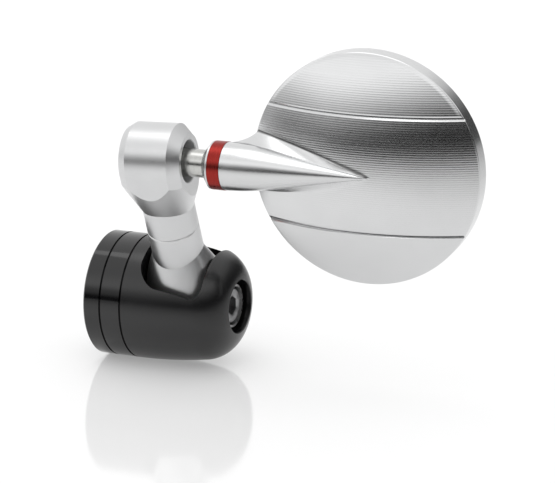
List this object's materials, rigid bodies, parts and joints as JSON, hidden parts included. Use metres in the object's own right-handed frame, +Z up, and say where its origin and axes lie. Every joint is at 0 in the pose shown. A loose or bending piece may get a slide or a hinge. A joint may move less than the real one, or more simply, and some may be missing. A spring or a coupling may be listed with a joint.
{
  "type": "motorcycle bar end mirror",
  "caption": "Round machined mirror on a jointed arm that swings in the slot of a bullet shaped clamp for the end of a motorcycle handlebar.",
  "frame": {"origin": "centre of the base ring's back face, where the clamp screw leaves it", "axes": "+X along the bullet from the handlebar to the nose, +Z up, -Y towards the mirror housing's domed back"},
  "size_m": [0.1474, 0.0585, 0.117],
  "materials": {
    "black_anodised": "satin",
    "satin_aluminium": "satin",
    "steel": "satin",
    "dark_steel": "satin",
    "red_anodised": "satin",
    "nylon": "matt",
    "pad": "matt",
    "mirror": "polished"
  },
  "bodies": {
    "base": {"base_ring": "black_anodised", "spacer_ring": "black_anodised", "bullet_body": "black_anodised", "pivot_bush": "dark_steel", "clamp_screw": "dark_steel", "front_friction_washer": "nylon", "rear_friction_washer": "nylon", "pressure_ring": "steel", "disc_spring": "steel"},
    "lower_arm": {"lower_arm": "satin_aluminium", "swivel_spring": "steel"},
    "upper_arm": {"upper_arm": "satin_aluminium", "swivel_screw": "steel", "pressure_cup": "steel", "cup_spring": "steel", "ball_plug": "steel"},
    "ball_liner": {"ball_liner": "nylon"},
    "ball_stud": {"ball_stud": "steel"},
    "mirror_head": {"lock_collar": "satin_aluminium", "accent_ring": "red_anodised", "mirror_housing": "satin_aluminium", "glass_pad": "pad", "mirror_glass": "mirror"}
  },
  "joints": [
    {"name": "arm_swing", "type": "hinge", "parent": "base", "child": "lower_arm", "pos_m": [0.0306, 0, 0], "axis": [1, 0, 0], "range_deg": [-30, 13]},
    {"name": "arm_swivel", "type": "hinge", "parent": "lower_arm", "child": "upper_arm", "pos_m": [0.0306, 0, 0], "axis": [0, -0.3971, 0.9178], "continuous": true},
    {"name": "ball_pan", "type": "hinge", "parent": "upper_arm", "child": "ball_liner", "pos_m": [0.0306, -0.02387, 0.05516], "axis": [0, -0.3971, 0.9178], "range_deg": [-4.5, 9.3]},
    {"name": "ball_tilt", "type": "hinge", "parent": "ball_liner", "child": "ball_stud", "pos_m": [0.0306, -0.02387, 0.05516], "axis": [-0.075, 0.9152, 0.396], "range_deg": [-8.1, 6.2]},
    {"name": "mirror_spin", "type": "hinge", "parent": "ball_stud", "child": "mirror_head", "pos_m": [0.0306, -0.02387, 0.05516], "axis": [0.9994, 0.0332, -0.0028], "continuous": true}
  ]
}
